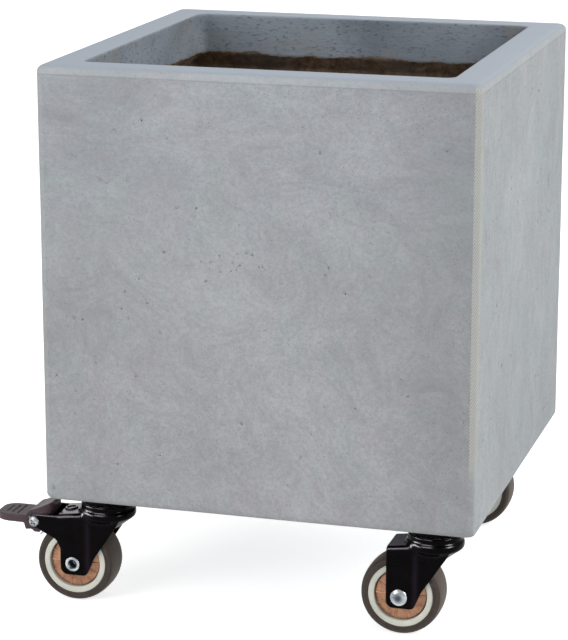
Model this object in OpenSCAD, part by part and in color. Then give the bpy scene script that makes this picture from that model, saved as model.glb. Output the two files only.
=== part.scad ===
// Square planter in cast fibre-clay that rolls on four swivel casters.
// The origin is on the floor, under the middle of the planter. +Z is up, +X to the right, -Y to the front.
// Each caster is drawn about its own swivel axis, trailing towards -X, and then put in its place.

/* [Planter] */
// Outside width and depth of the square body
planter_w = 270; // [250:5:320]
// Height of the body from its underside to its rim
planter_h = 270; // [220:5:340]
// Width of the flat rim round the mouth
rim_w = 22; // [18:1:28]
// Depth of the thick band under the rim
band_h = 27; // [15:1:40]
// Wall thickness below the band
wall_t = 12; // [9:1:14]
// Thickness of the floor
floor_t = 16; // [12:1:20]
// Rounding of the outer edges
edge_r = 4; // [2:1:6]
// Rounding of the inner upright corners
inner_r = 6; // [3:1:10]
// Diameter of the drain hole
drain_d = 20; // [12:1:30]

/* [Casters] */
// Distance from each swivel axis to the two nearest faces of the planter
caster_inset = 30; // [24:1:40]
// Height of a caster, from the floor to the planter's underside
caster_h = 72; // [71:0.5:74]
// Distance from the swivel axis back to the axle
trail = 19; // [18:0.5:20]
// Which casters have a brake, in the order front left, front right, rear left, rear right
braked = [true, false, false, true];

/* [Wheels] */
// Diameter over the tread
wheel_d = 51; // [50:0.5:52]
// Width of the tyre
wheel_w = 21.5; // [20:0.5:22]
// Outer radius of the pale ring that carries the tyre
ring_r = 20.2; // [19:0.1:21]
// Outer radius of the hub covers
cover_r = 16.2; // [14:0.1:17]
// Number of radial ribs on a hub cover
cover_ribs = 14; // [8:1:18]

/* [Fork] */
// Thickness of the pressed sheet
sheet_t = 2; // [1.5:0.1:2.5]
// Outer radius of the round head at its widest
head_r = 17.8; // [17.6:0.1:18.4]
// Slope of the bridge over the wheel, in degrees
bridge_slope = 7.3; // [6:0.1:9]
// How far the sides of the fork lean in, in front of their upright crease, in degrees
side_lean = 2.75; // [0:0.25:3]

/* [Brake] */
// Width of the pedal
pedal_w = 22.8; // [20:0.1:23]
// Place of the pedal's pivot behind the swivel axis
pivot_x = -44.3; // [-46:0.1:-43]
// Depth of the pedal's pivot below the planter's underside
pivot_drop = 20.8; // [20:0.1:22]

/* [Hidden] */
corners = ["fl", "fr", "rl", "rr"];
brakes = [for (i = [0:3]) if (braked[i]) i];

// swivel axes, wheels and forks
axis_xy = planter_w / 2 - caster_inset;
axle_z = wheel_d / 2;
fork_gap = wheel_w + 1.9;
fork_half = fork_gap / 2 + sheet_t;
cavity_w = planter_w - 2 * wall_t;
mouth_w = planter_w - 2 * rim_w;
band_taper = rim_w - wall_t;

// levels in the swivel head, measured down from the planter's underside
cap_under = -4.25;
cap_bottom = -5.9;
head_top = -6.8;
pan_top = -8;
pan_under = pan_top - sheet_t;
rim_top = -11.9;
rim_bottom = -15.6;
lower_race_top = -13.1;
kingpin_end = -14.6;

// radii in the swivel head
collar_r = head_r - 1.3;
stem_r = 3.9;
kingpin_r = 5.4;
pan_bore_r = 6;
upper_ball_r = 1.8;
upper_ring_r = 12.2;
lower_ball_r = 1.5;
lower_ring_r = 8.3;
running_gap = 0.05;

// axle, spacer and bushes
axle_r = 3;
spacer_r = 4;
bush_r = 6;
hub_r = 8;
hub_half = 11;
bush_flange_half = 11.6;

// stem hardware inside the planter
stem_hole_r = 4.3;
washer_r = 12;
washer_t = 2;
nut_h = 6.5;
nut_across_flats = 13;
stem_top = floor_t + washer_t + nut_h + 2.5;

// the fork's bridge, and the creases in its sides
bridge_x = -12;
bridge_z = caster_h - 13;
crease_x = -11.4;

// brake hardware
screw_r = 1.7;
pedal_bore_r = 1.78;
rivet_back = 12.3;
rivet_shank_r = 1.95;
rivet_hole_r = 2;
leaf_t = 1.2;
leaf_w = 14;
pivot = [pivot_x, caster_h - pivot_drop];
barrel_r = 7;
ear_r = 4.6;
paddle_l = 28;
paddle_top = 2.4;
tab_l = 11.1;

concrete = "#A4A9AC";
black_paint = "#17141A";
zinc = "#C9CCD0";
bright_steel = "#DDE0E3";
tyre_grey = "#4E4946";
pale_grey = "#CBCFC9";
copper_brown = "#A8775C";
pedal_brown = "#473D3D";
nylon = "#E6E2D8";

// ---------------------------------------------------------------- outlines

function unit(v) = v / norm(v);

// The arc of radius r that rounds the corner at b between a and c, as n + 1 points
function corner_arc(a, b, c, r, n) =
    let (
        u = unit(a - b), v = unit(c - b),
        half = acos(u * v) / 2,
        centre = b + unit(u + v) * r / sin(half),
        p = b + u * r / tan(half) - centre,
        q = b + v * r / tan(half) - centre,
        start = atan2(p.y, p.x),
        sweep = (atan2(q.y, q.x) - start + 540) % 360 - 180
    )
    [for (i = [0:n]) centre + r * [cos(start + sweep * i / n), sin(start + sweep * i / n)]];

// A closed outline from corners given as [x, y, rounding radius]
function rounded(pts, n = 5) =
    let (m = len(pts), at = function (i) [pts[i].x, pts[i].y])
    [for (i = [0:m - 1]) each pts[i].z > 0
        ? corner_arc(at((i + m - 1) % m), at(i), at((i + 1) % m), pts[i].z, n)
        : [at(i)]];

// The outline of a strip of thickness t along an open path
function strip(path, t) =
    let (
        m = len(path),
        along = [for (i = [0:m - 1]) unit(path[min(i + 1, m - 1)] - path[max(i - 1, 0)])],
        side = [for (d = along) [-d.y, d.x] * t / 2]
    )
    concat([for (i = [0:m - 1]) path[i] + side[i]], [for (i = [m - 1:-1:0]) path[i] - side[i]]);

// A square of width w about the origin, with rounded corners
function rounded_square(w, r) =
    rounded([[-w / 2, -w / 2, r], [w / 2, -w / 2, r], [w / 2, w / 2, r], [-w / 2, w / 2, r]]);

// An outline in X and Z, drawn out along Y to a total width w
module across(w) {
    translate([0, w / 2, 0]) rotate([90, 0, 0]) linear_extrude(w) children();
}

// A round bar along Y, centred on [x, z]
module cross_bar(at, r, w, fn = 40) {
    translate([at.x, w / 2, at.y]) rotate([90, 0, 0]) cylinder(r = r, h = w, $fn = fn);
}

// A revolved outline, given as [radius, distance along Y], about the axle
module about_axle(fn = 72) {
    translate([-trail, 0, axle_z]) rotate([-90, 0, 0]) rotate_extrude($fn = fn) children();
}

module at_caster(i) {
    side = [i % 2 == 0 ? -1 : 1, i < 2 ? -1 : 1];
    translate([side.x * axis_xy, side.y * axis_xy, 0]) children();
}

// The same, with z measured from the planter's underside
module at_head(i) {
    at_caster(i) translate([0, 0, caster_h]) children();
}

// ---------------------------------------------------------------- planter

module planter_shell() {
    color(concrete)
    translate([0, 0, caster_h])
    difference() {
        hull() {
            for (x = [-1, 1], y = [-1, 1], z = [edge_r, planter_h - edge_r])
                translate([x * (planter_w / 2 - edge_r), y * (planter_w / 2 - edge_r), z])
                    sphere(r = edge_r, $fn = 24);
        }
        // the mouth, the slope under the band and the wider hollow below it
        translate([0, 0, planter_h - band_h]) linear_extrude(band_h + 1)
            polygon(rounded_square(mouth_w, inner_r));
        translate([0, 0, floor_t]) linear_extrude(planter_h - band_h - band_taper - floor_t)
            polygon(rounded_square(cavity_w, inner_r));
        hull() {
            translate([0, 0, planter_h - band_h - band_taper - 0.1]) linear_extrude(0.1)
                polygon(rounded_square(cavity_w, inner_r));
            translate([0, 0, planter_h - band_h]) linear_extrude(0.1)
                polygon(rounded_square(mouth_w, inner_r));
        }
        translate([0, 0, -1]) cylinder(d = drain_d, h = floor_t + 2, $fn = 48);
        for (x = [-1, 1], y = [-1, 1])
            translate([x * axis_xy, y * axis_xy, -1]) cylinder(r = stem_hole_r, h = floor_t + 2, $fn = 32);
    }
}

module stem_washers() {
    color(zinc)
    for (i = [0:3]) at_head(i) translate([0, 0, floor_t])
        difference() {
            cylinder(r = washer_r, h = washer_t, $fn = 48);
            translate([0, 0, -1]) cylinder(r = stem_hole_r, h = washer_t + 2, $fn = 32);
        }
}

// A hexagon nut with its corners turned off at both ends
module hex_nut(across_flats, h, bore_r) {
    corner_r = across_flats / 2 / cos(30);
    bevel = corner_r - across_flats / 2;
    difference() {
        intersection() {
            cylinder(r = corner_r, h = h, $fn = 6);
            rotate_extrude($fn = 48) polygon([[0, 0], [across_flats / 2, 0], [corner_r, bevel / 2],
                [corner_r, h - bevel / 2], [across_flats / 2, h], [0, h]]);
        }
        translate([0, 0, -1]) cylinder(r = bore_r, h = h + 2, $fn = 32);
    }
}

module stem_nuts() {
    color(zinc)
    for (i = [0:3]) at_head(i) translate([0, 0, floor_t + washer_t])
        hex_nut(nut_across_flats, nut_h, stem_r + running_gap);
}

// ---------------------------------------------------------------- swivel head

// The stem, with the kingpin under its shoulder and the head that is riveted over below
module threaded_stem() {
    tip = 1;
    rivet_r = 7.6;
    rivet_h = 2.2;
    color(zinc)
    rotate_extrude($fn = 48)
        polygon(concat(
            [[0, kingpin_end - rivet_h], [rivet_r - 2.4, kingpin_end - rivet_h]],
            [[rivet_r - 0.6, kingpin_end - rivet_h * 0.6], [rivet_r, kingpin_end - 0.5]],
            [[rivet_r, kingpin_end], [kingpin_r, kingpin_end], [kingpin_r, cap_under], [stem_r, cap_under]],
            [[stem_r, stem_top - tip], [stem_r - tip, stem_top], [0, stem_top]]));
}

// The plate that bears on the planter and covers the upper ring of balls
module race_cap() {
    cap_r = collar_r;
    color(black_paint)
    rotate_extrude($fn = 72)
        polygon(rounded([
            [stem_r, 0, 0], [stem_r, cap_under, 0], [14.2, cap_under, 0], [14.5, cap_bottom, 0],
            [cap_r, cap_bottom, 0.6], [cap_r, 0, 1]], 4));
}

// The dish under the head that holds the lower ring of balls
module lower_race() {
    plate_t = 1.5;
    color(zinc)
    rotate_extrude($fn = 48)
        polygon(rounded([
            [kingpin_r, lower_race_top, 0], [kingpin_r, lower_race_top - plate_t, 0],
            [11, lower_race_top - plate_t, 1.2], [11, lower_race_top + plate_t, 0.4],
            [10, lower_race_top + plate_t, 0.4], [10, lower_race_top, 0]], 3));
}

module ball_ring(count, ring_r, ball_r, z) {
    for (k = [0:count - 1]) rotate([0, 0, k * 360 / count]) translate([ring_r, 0, z])
        sphere(r = ball_r, $fn = 24);
}

module swivel_balls() {
    color(bright_steel) {
        ball_ring(16, upper_ring_r, upper_ball_r, pan_top + upper_ball_r + running_gap);
        ball_ring(12, lower_ring_r, lower_ball_r, lower_race_top + lower_ball_r + running_gap);
    }
}

// ---------------------------------------------------------------- fork

// Where the round head's funnel has narrowed to at a level below the underside
funnel_flare = 1.3;
function funnel_r(z) = head_r + funnel_flare * (z - rim_bottom);
funnel_wall = sheet_t * norm([1, funnel_flare]);
funnel_end = -18.5;
funnel_front_end = -24;
rim_inner = head_r - sheet_t;
rim_turn = rim_bottom + (funnel_wall - sheet_t) / funnel_flare;

// The round head in section: race floor, collar, rolled rim and funnel down to level z
function head_section(z) = rounded([
    [pan_bore_r, pan_top, 0], [pan_bore_r, pan_under, 0], [collar_r - sheet_t, pan_under, 1],
    [rim_inner, rim_top - 1, 1], [rim_inner, rim_turn, 0], [funnel_r(z) - funnel_wall, z, 0],
    [funnel_r(z), z, 0], [head_r, rim_bottom, 2.5], [head_r, rim_top, 1.4],
    [collar_r, rim_top + 1.2, 0.8], [collar_r, head_top, 0.8], [14.6, head_top, 0.4], [14, pan_top, 0.4]], 5);

// The funnel reaches further down in front, between the legs, than behind over the wheel
module fork_head() {
    translate([0, 0, caster_h]) difference() {
        rotate_extrude($fn = 72) polygon(head_section(funnel_front_end));
        translate([-2 * head_r, -2 * head_r, funnel_end - 20]) cube([2 * head_r, 4 * head_r, 20]);
    }
}

// The space inside the head, to halfway through the head's own wall
module head_hollow() {
    bite = sheet_t / 2;
    low = funnel_end + 0.5;
    translate([0, 0, caster_h]) rotate_extrude($fn = 72) polygon([
        [0, low], [funnel_r(low) - funnel_wall + bite, low],
        [rim_inner + bite, rim_turn], [rim_inner + bite, 0], [0, 0]]);
}

// Puts what is drawn on a level plane onto the sloping top of the bridge
module on_bridge() {
    translate([bridge_x, 0, bridge_z]) rotate([0, -bridge_slope, 0]) children();
}

// A point at some distance back along the bridge and some depth below its top, in X and Z
function below_bridge(back, depth) =
    [bridge_x, bridge_z] - back * [cos(bridge_slope), sin(bridge_slope)]
    + depth * [sin(bridge_slope), -cos(bridge_slope)];

// The folded sheet behind the creases, before it is trimmed: a channel, open below, that slopes to the rear
module folded_channel() {
    bend_r = 3;
    depth = 60;
    intersection() {
        on_bridge() rotate([90, 0, 90]) translate([0, 0, -30]) linear_extrude(60)
            polygon(rounded([
                [-fork_half, -depth, 0], [-fork_half, 0, bend_r],
                [fork_half, 0, bend_r], [fork_half, -depth, 0],
                [fork_half - sheet_t, -depth, 0], [fork_half - sheet_t, -sheet_t, bend_r - sheet_t],
                [sheet_t - fork_half, -sheet_t, bend_r - sheet_t], [sheet_t - fork_half, -depth, 0]]));
        translate([crease_x - 60, -50, 0]) cube([60, 100, 100]);
    }
}

// The sides in front of the creases, which lean in towards the front
module leaning_sides() {
    for (s = [-1, 1])
        translate([crease_x, s * (fork_half - sheet_t / 2), 0]) rotate([0, 0, -s * side_lean])
            translate([0, -sheet_t / 2, 0]) cube([30, sheet_t, bridge_z]);
}

// The side of the fork: an upright rear edge, a short foot and a long slope up to the head.
// With a brake the bridge over the wheel runs further back than the legs under it.
module leg_side(bridge_rear) {
    foot = axle_z - 7.6;
    leg_rear = -trail - 8.5;
    step = foot + 30;
    rear_edge = bridge_rear < leg_rear
        ? [[bridge_rear, caster_h - 8, 0], [bridge_rear, step, 0], [leg_rear, step - 8, 3]]
        : [[leg_rear, caster_h - 8, 0]];
    polygon(rounded(concat(rear_edge, [
        [leg_rear, foot, 4.5], [-trail + 8.7, foot, 3.5], [-trail + 13.2, foot + 11, 8], [8.8, foot + 33, 4],
        [11.5, foot + 37.5, 0], [11.5, caster_h - 8, 0]])));
}

// The arm that carries the pedal's pivot behind the leg
module pedal_arm_side() {
    polygon(rounded([
        [pivot.x, pivot.y + ear_r, 0], [-29, pivot.y + ear_r, 0], [-26, pivot.y, 0],
        [-trail - 8.5, pivot.y - 16.5, 0], [-30.2, pivot.y - 10.8, 4], [-38.5, pivot.y - 6.9, 4],
        [pivot.x + 1, pivot.y - ear_r + 0.2, 0]]));
}

module fork(has_brake) {
    bridge_rear = -trail - (has_brake ? 10.5 : 8.5);
    color(black_paint)
    difference() {
        union() {
            fork_head();
            difference() {
                intersection() {
                    union() {
                        folded_channel();
                        leaning_sides();
                    }
                    across(40) leg_side(bridge_rear);
                }
                head_hollow();
            }
            if (has_brake) difference() {
                union() {
                    across(2 * fork_half) pedal_arm_side();
                    cross_bar(pivot, ear_r, 2 * fork_half);
                }
                translate([-60, -fork_gap / 2, 20]) cube([60, fork_gap, 60]);
            }
        }
        cross_bar([-trail, axle_z], axle_r + running_gap, 40);
        if (has_brake) {
            cross_bar(pivot, screw_r + 0.02, 40, 24);
            leaf_hole();
        }
    }
}

// ---------------------------------------------------------------- axle and wheel

// A hollow rivet: a domed head at one end, and the other end flared over the fork
module axle(turned) {
    dome = [for (a = [0:15:75]) [5.3 * cos(a), -fork_half - 0.8 - 1.9 * sin(a)]];
    flare_h = 1.3;
    end = fork_half + flare_h;
    color(zinc)
    translate([-trail, 0, axle_z]) rotate([0, 0, turned ? 180 : 0]) rotate([-90, 0, 0])
        rotate_extrude($fn = 48) polygon(concat(
            [[0, -fork_half - 2.7]], [for (i = [5:-1:0]) dome[i]],
            [[5.3, -fork_half], [axle_r, -fork_half], [axle_r, fork_half]],
            [[4.4, fork_half], [4.8, fork_half + 0.5], [4.3, end], [3.2, end], [2, end - 1.4]],
            [[2, end - 6], [0, end - 6.5]]));
}

module axle_spacer() {
    color(zinc)
    about_axle(40) polygon([
        [axle_r + running_gap, -fork_gap / 2], [spacer_r, -fork_gap / 2],
        [spacer_r, fork_gap / 2], [axle_r + running_gap, fork_gap / 2]]);
}

module tyre() {
    half = wheel_w / 2;
    bore_r = ring_r + running_gap;
    key_r = bore_r - 1.2;
    color(tyre_grey)
    about_axle(96) polygon(rounded([
        [bore_r, -half, 0.4], [wheel_d / 2, -half, 3.8], [wheel_d / 2, half, 3.8], [bore_r, half, 0.4],
        [bore_r, 2.9, 0], [key_r, 2.1, 0], [key_r, -2.1, 0], [bore_r, -2.9, 0]], 6));
}

// The moulded centre: a rim with a groove for the tyre, a web and a hub
module wheel_core() {
    ring_half = wheel_w / 2 - 0.5;
    groove_r = ring_r - 1.2;
    web_half = 2.2;
    seat = 5;
    color(pale_grey)
    about_axle(96) polygon(rounded([
        [ring_r, -3, 0], [ring_r, -ring_half, 0.4], [cover_r + 0.3, -ring_half, 0.5],
        [cover_r + 0.3, -web_half, 1], [hub_r, -web_half, 1], [hub_r, -hub_half, 0.3], [bush_r, -hub_half, 0],
        [bush_r, -seat, 0], [spacer_r + 0.6, -seat, 0], [spacer_r + 0.6, seat, 0], [bush_r, seat, 0],
        [bush_r, hub_half, 0], [hub_r, hub_half, 0.3], [hub_r, web_half, 1],
        [cover_r + 0.3, web_half, 1], [cover_r + 0.3, ring_half, 0.5], [ring_r, ring_half, 0.4],
        [ring_r, 3, 0], [groove_r, 2.2, 0], [groove_r, -2.2, 0]], 3));
}

// A dished cover with radial ribs closes each side of the wheel between rim and hub
module hub_cover() {
    cover_t = 1.2;
    rim_y = 8.4;
    hub_y = 9.4;
    rib_h = 0.5;
    rib_w = 0.7;
    translate([-trail, 0, axle_z]) rotate([-90, 0, 0]) {
        rotate_extrude($fn = 72) polygon(rounded([
            [hub_r + 0.1, hub_y - cover_t, 0], [cover_r, rim_y - cover_t, 0],
            [cover_r, rim_y, 0.4], [hub_r + 0.1, hub_y, 0]], 3));
        for (k = [0:cover_ribs - 1]) rotate([0, 0, k * 360 / cover_ribs])
            translate([hub_r + 1, 0, 0]) rotate([90, 0, 0]) translate([0, 0, -rib_w / 2])
                linear_extrude(rib_w) polygon([
                    [0, hub_y - cover_t / 2], [cover_r - hub_r - 2, rim_y - cover_t / 2],
                    [cover_r - hub_r - 2, rim_y + rib_h], [0, hub_y + rib_h]]);
    }
}

module hub_covers() {
    color(copper_brown) {
        hub_cover();
        translate([-2 * trail, 0, 0]) rotate([0, 0, 180]) hub_cover();
    }
}

// A flanged bush in each end of the hub runs on the spacer
module axle_bushes() {
    section = [
        [spacer_r + 0.08, 5], [bush_r, 5], [bush_r, hub_half], [hub_r - 0.6, hub_half],
        [hub_r - 0.6, bush_flange_half], [spacer_r + 0.08, bush_flange_half]];
    color(nylon) {
        about_axle(48) polygon(section);
        about_axle(48) polygon([for (p = section) [p.x, -p.y]]);
    }
}

// ---------------------------------------------------------------- brake

// The flat of the pedal that a shoe presses down, behind the barrel
module paddle() {
    across(pedal_w) polygon(rounded([
        [pivot.x - paddle_l, pivot.y + paddle_top, 1.5], [pivot.x, pivot.y + paddle_top, 0],
        [pivot.x, pivot.y - 4, 0], [pivot.x - 8, pivot.y - 2.4, 1],
        [pivot.x - paddle_l, pivot.y - 2.1, 1.5]]));
}

// The raised tab in front of the barrel that releases the brake
module release_tab() {
    across(pedal_w) polygon(rounded([
        [pivot.x - 1, pivot.y + 6, 0], [pivot.x - 1, pivot.y + 6.9, 0], [pivot.x + 9.8, pivot.y + 11.6, 1.2],
        [pivot.x + tab_l, pivot.y + 9.2, 0.8], [pivot.x + tab_l - 0.2, pivot.y + 4.3, 1],
        [pivot.x + 5, pivot.y + 2, 0], [pivot.x, pivot.y, 0]]));
}

// Two teeth under the barrel; the front one holds the leaf down
module pedal_teeth() {
    across(pedal_w) polygon([
        pivot + [-8.5, -1], pivot + [-6.9, -6.7], pivot + [-2.8, -6.1], pivot + [-1.2, -7.8],
        pivot + [2.3, -8], pivot + [4, -4], pivot]);
}

module brake_pedal() {
    groove_w = 1.2;
    groove_depth = 0.9;
    groove_pitch = 3.85;
    color(pedal_brown)
    difference() {
        intersection() {
            union() {
                paddle();
                cross_bar(pivot, barrel_r, pedal_w, 48);
                release_tab();
                pedal_teeth();
            }
            linear_extrude(caster_h) polygon(rounded([
                [pivot.x - paddle_l, -pedal_w / 2, 9], [pivot.x + tab_l, -pedal_w / 2, 8],
                [pivot.x + tab_l, pedal_w / 2, 8], [pivot.x - paddle_l, pedal_w / 2, 9]], 8));
        }
        // three grooves across the paddle, shorter towards its rounded end
        for (k = [0:2])
            translate([pivot.x - 13.3 - groove_pitch * k, 0, pivot.y + paddle_top])
                cube([groove_w, 16.2 - 2 * k, 2 * groove_depth], center = true);
        cross_bar(pivot, pedal_bore_r, pedal_w + 2, 32);
    }
}

// A pan-head screw with a cross recess
module pedal_screw() {
    head_r = 3.4;
    recess_w = 0.9;
    color(bright_steel)
    translate([pivot.x, 0, pivot.y]) rotate([-90, 0, 0]) difference() {
        rotate_extrude($fn = 40) polygon([
            [0, -fork_half - 2.2], [1.8, -fork_half - 2], [3, -fork_half - 1.3], [head_r, -fork_half - 0.5],
            [head_r, -fork_half], [screw_r, -fork_half], [screw_r, fork_half + 3.2], [0, fork_half + 3.2]]);
        for (a = [45, 135]) rotate([0, 0, a])
            translate([0, 0, -fork_half - 2.2]) cube([3.6, recess_w, 2.4], center = true);
    }
}

module pedal_nut() {
    color(zinc)
    translate([pivot.x, fork_half, pivot.y]) rotate([-90, 0, 0]) hex_nut(6, 2.4, screw_r + 0.02);
}

// The hole for the rivet through the bridge and the leaf
module leaf_hole() {
    on_bridge() translate([-rivet_back, 0, -8]) cylinder(r = rivet_hole_r, h = 12, $fn = 24);
}

// A spring-steel leaf, riveted under the bridge, that the pedal's barrel holds down towards the tread
module brake_leaf() {
    depth = sheet_t + leaf_t / 2 + 0.02;
    leaf = [below_bridge(8.1, depth), below_bridge(15.5, depth),
        [-30, 49.75], [-37, 46.25], [-40.5, 43.4], [-42.9, 40.7]];
    color(bright_steel)
    difference() {
        across(leaf_w) polygon(strip(leaf, leaf_t));
        leaf_hole();
    }
}

// A rivet that is hollow at its upper end, where it is rolled outwards over the bridge
module leaf_rivet() {
    seat = 0.02;
    grip = sheet_t + leaf_t + 0.1;
    color(black_paint)
    on_bridge() translate([-rivet_back, 0, 0]) rotate_extrude($fn = 32) polygon([
        [0, -grip - 1], [3.2, -grip - 1], [3.2, -grip], [rivet_shank_r, -grip], [rivet_shank_r, seat],
        [4.2, seat], [4.2, 0.5], [3.8, 1], [3.1, 1], [2.1, 0.3], [0, 0.3]]);
}

// ---------------------------------------------------------------- assembly

planter_shell();
stem_washers();
stem_nuts();
for (i = [0:3]) {
    c = corners[i];
    at_head(i) threaded_stem();
    at_head(i) race_cap();
    at_head(i) lower_race();
    at_head(i) swivel_balls();
    at_caster(i) fork(braked[i]);
    at_caster(i) axle(braked[i]);
    at_caster(i) axle_spacer();
    at_caster(i) tyre();
    at_caster(i) wheel_core();
    at_caster(i) hub_covers();
    at_caster(i) axle_bushes();
}
for (i = brakes) {
    c = corners[i];
    at_caster(i) brake_pedal();
    at_caster(i) pedal_screw();
    at_caster(i) pedal_nut();
    at_caster(i) brake_leaf();
    at_caster(i) leaf_rivet();
}
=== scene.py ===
"""A square fibre-clay planter on four swivel casters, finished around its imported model."""

import math

import bmesh
import bpy
import numpy as np
from mathutils import Matrix, Vector, noise


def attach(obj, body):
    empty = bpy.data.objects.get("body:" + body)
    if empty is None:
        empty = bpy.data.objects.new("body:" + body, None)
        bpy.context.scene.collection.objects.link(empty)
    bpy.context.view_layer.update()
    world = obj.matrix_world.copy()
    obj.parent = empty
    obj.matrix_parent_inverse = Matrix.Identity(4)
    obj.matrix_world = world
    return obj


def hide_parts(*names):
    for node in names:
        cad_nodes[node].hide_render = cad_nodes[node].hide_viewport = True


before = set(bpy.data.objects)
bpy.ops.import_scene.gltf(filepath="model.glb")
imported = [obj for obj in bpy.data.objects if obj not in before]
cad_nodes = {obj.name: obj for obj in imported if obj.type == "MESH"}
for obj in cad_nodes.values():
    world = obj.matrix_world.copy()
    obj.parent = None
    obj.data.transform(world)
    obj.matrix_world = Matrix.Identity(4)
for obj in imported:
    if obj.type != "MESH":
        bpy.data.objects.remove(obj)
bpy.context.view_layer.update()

MM = 0.001

# ---------------------------------------------------------------- studio
# The planter stands on a white floor in front of a white ground. One soft lamp lights its right side, a
# nearer one its front, from the left, and one its back. Three strips only show in the black enamel.

FLOOR_WIDTH = 9.0
# place, size and power of each lamp
LAMPS = {
    "right": ((2.1, -0.5, 1.5), (1.2, 1.2), 30),
    "front_left": ((-0.7, -1.05, 0.6), (0.7, 0.7), 6.6),
    "back": ((0.3, 2.4, 1.9), (1.6, 1.0), 14),
}
STRIPS = {
    "left_strip": ((-0.6, -1.45, 1.3), (1.3, 1.6), 600),
    "right_strip": ((1.9, -0.7, 1.1), (0.8, 1.2), 650),
    "low_strip": ((-1.7, -0.8, 0.24), (1.1, 0.36), 260),
}
LAMPS_AIM = Vector((0, 0, 0.15))
FILL_LIGHT = 0.52
FLOOR_GREY = 0.86
FLOOR_LIFT = 0.7


class Net:
    """A node tree that is written in Python: node() adds any node, and values take arithmetic."""

    def __init__(self, tree):
        self.tree = tree

    def node(self, kind, settings=None, sockets=None, out=0):
        made = self.tree.nodes.new(kind)
        for name, value in (settings or {}).items():
            setattr(made, name, value)
        for name, value in (sockets or {}).items():
            if isinstance(value, Value):
                self.tree.links.new(value.socket, made.inputs[name])
            else:
                made.inputs[name].default_value = value
        return Value(self, made.outputs[out])

    def parts(self, vector):
        """A vector's X. Its Y and Z are other outputs of the same node."""
        return self.node("ShaderNodeSeparateXYZ", None, {"Vector": vector})

    def scaled(self, vector, factors):
        """A vector multiplied along each axis."""
        return self.node("ShaderNodeVectorMath", {"operation": "MULTIPLY"}, {0: vector, 1: factors})

    def end(self, kind, name, value):
        """Links a value to a new output node of the tree."""
        self.tree.links.new(value.socket, self.tree.nodes.new(kind).inputs[name])


class Value:
    """One output of a node. Arithmetic on it adds Math nodes."""

    def __init__(self, net, socket):
        self.net, self.socket = net, socket

    def math(self, operation, *others):
        sockets = dict(enumerate((self, *others)))
        return self.net.node("ShaderNodeMath", {"operation": operation}, sockets)

    def other(self, name):
        """Another output of the same node."""
        return Value(self.net, self.socket.node.outputs[name])

    def between(self, low, high):
        """0 at low and 1 at high, smooth and clamped."""
        return self.net.node(
            "ShaderNodeMapRange",
            {"interpolation_type": "SMOOTHSTEP"},
            {"Value": self, "From Min": low, "From Max": high},
        )

    def __add__(self, other):
        return self.math("ADD", other)

    def __sub__(self, other):
        return self.math("SUBTRACT", other)

    def __mul__(self, other):
        return self.math("MULTIPLY", other)

    def __radd__(self, other):
        return self.math("ADD", other)

    def __rmul__(self, other):
        return self.math("MULTIPLY", other)

    def __rsub__(self, other):
        return self * -1.0 + other


def srgb(hexes):
    """A colour written as the screen shows it, as the linear numbers that a shader takes."""
    channels = [int(hexes[i : i + 2], 16) / 255 for i in (1, 3, 5)]
    return tuple(c / 12.92 if c <= 0.04045 else ((c + 0.055) / 1.055) ** 2.4 for c in channels)


class Finish(Net):
    """A material on one Principled shader."""

    def __init__(self, name):
        self.material = bpy.data.materials.new(name)
        self.material.use_nodes = True
        super().__init__(self.material.node_tree)
        self.tree.nodes.clear()
        coordinates = self.node("ShaderNodeTexCoord")
        self.place = coordinates.other("Object")
        self.facing = coordinates.other("Normal")

    def stretched(self, scale, turn=(0, 0, 0)):
        """The object's coordinates, turned in degrees and then scaled along each axis."""
        turned = self.node(
            "ShaderNodeMapping",
            {"vector_type": "POINT"},
            {"Vector": self.place, "Rotation": [math.radians(t) for t in turn]},
        )
        return self.scaled(turned, scale)

    def noise(self, size, detail=3.0, roughness=0.5, distortion=0.0, vector=None):
        """Noise whose largest features measure about size metres."""
        sockets = {
            "Vector": vector or self.place,
            "Scale": 1 / size,
            "Detail": detail,
            "Roughness": roughness,
            "Distortion": distortion,
        }
        return self.node("ShaderNodeTexNoise", None, sockets)

    def attribute(self, name):
        """A number that the mesh holds for each of its points."""
        return self.node("ShaderNodeAttribute", {"attribute_name": name}, None, out=2)

    def mix(self, factor, a, b, blend="MIX"):
        """From colour a to b, each a value, three linear numbers, or a colour as the screen shows it."""
        settings = {"data_type": "RGBA", "blend_type": blend}
        colours = [srgb(c) if isinstance(c, str) else c for c in (a, b)]
        a, b = [c if isinstance(c, Value) else (*c, 1.0) for c in colours]
        return self.node("ShaderNodeMix", settings, {0: factor, 6: a, 7: b}, out=2)

    def tinted(self, colour, factor, a, b):
        """A colour multiplied by a tint that goes from a to b."""
        return self.mix(1.0, colour, self.mix(factor, a, b), "MULTIPLY")

    def bump(self, height, depth, strength=1.0, below=None):
        sockets = {"Height": height, "Distance": depth, "Strength": strength}
        if below:
            sockets["Normal"] = below
        return self.node("ShaderNodeBump", None, sockets)

    def surface(self, **sockets):
        """Ends the material. Socket names are given with underscores for spaces."""
        named = {k.replace("_", " "): v for k, v in sockets.items()}
        shader = self.node("ShaderNodeBsdfPrincipled", None, named)
        self.end("ShaderNodeOutputMaterial", "Surface", shader)
        return self.material


def lamp(name, at, size, power, shows_in=None):
    """A soft lamp, or one that only shows as a highlight in the pieces of a collection."""
    data = bpy.data.lights.new(name, "AREA")
    data.shape = "RECTANGLE"
    data.size, data.size_y = size
    data.energy = power
    made = bpy.data.objects.new(name, data)
    made.location = at
    if shows_in:
        made.visible_diffuse = False
        made.light_linking.receiver_collection = shows_in
    aim = LAMPS_AIM - Vector(at)
    made.rotation_euler = aim.to_track_quat("-Z", "Y").to_euler()
    bpy.context.scene.collection.objects.link(made)


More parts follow.
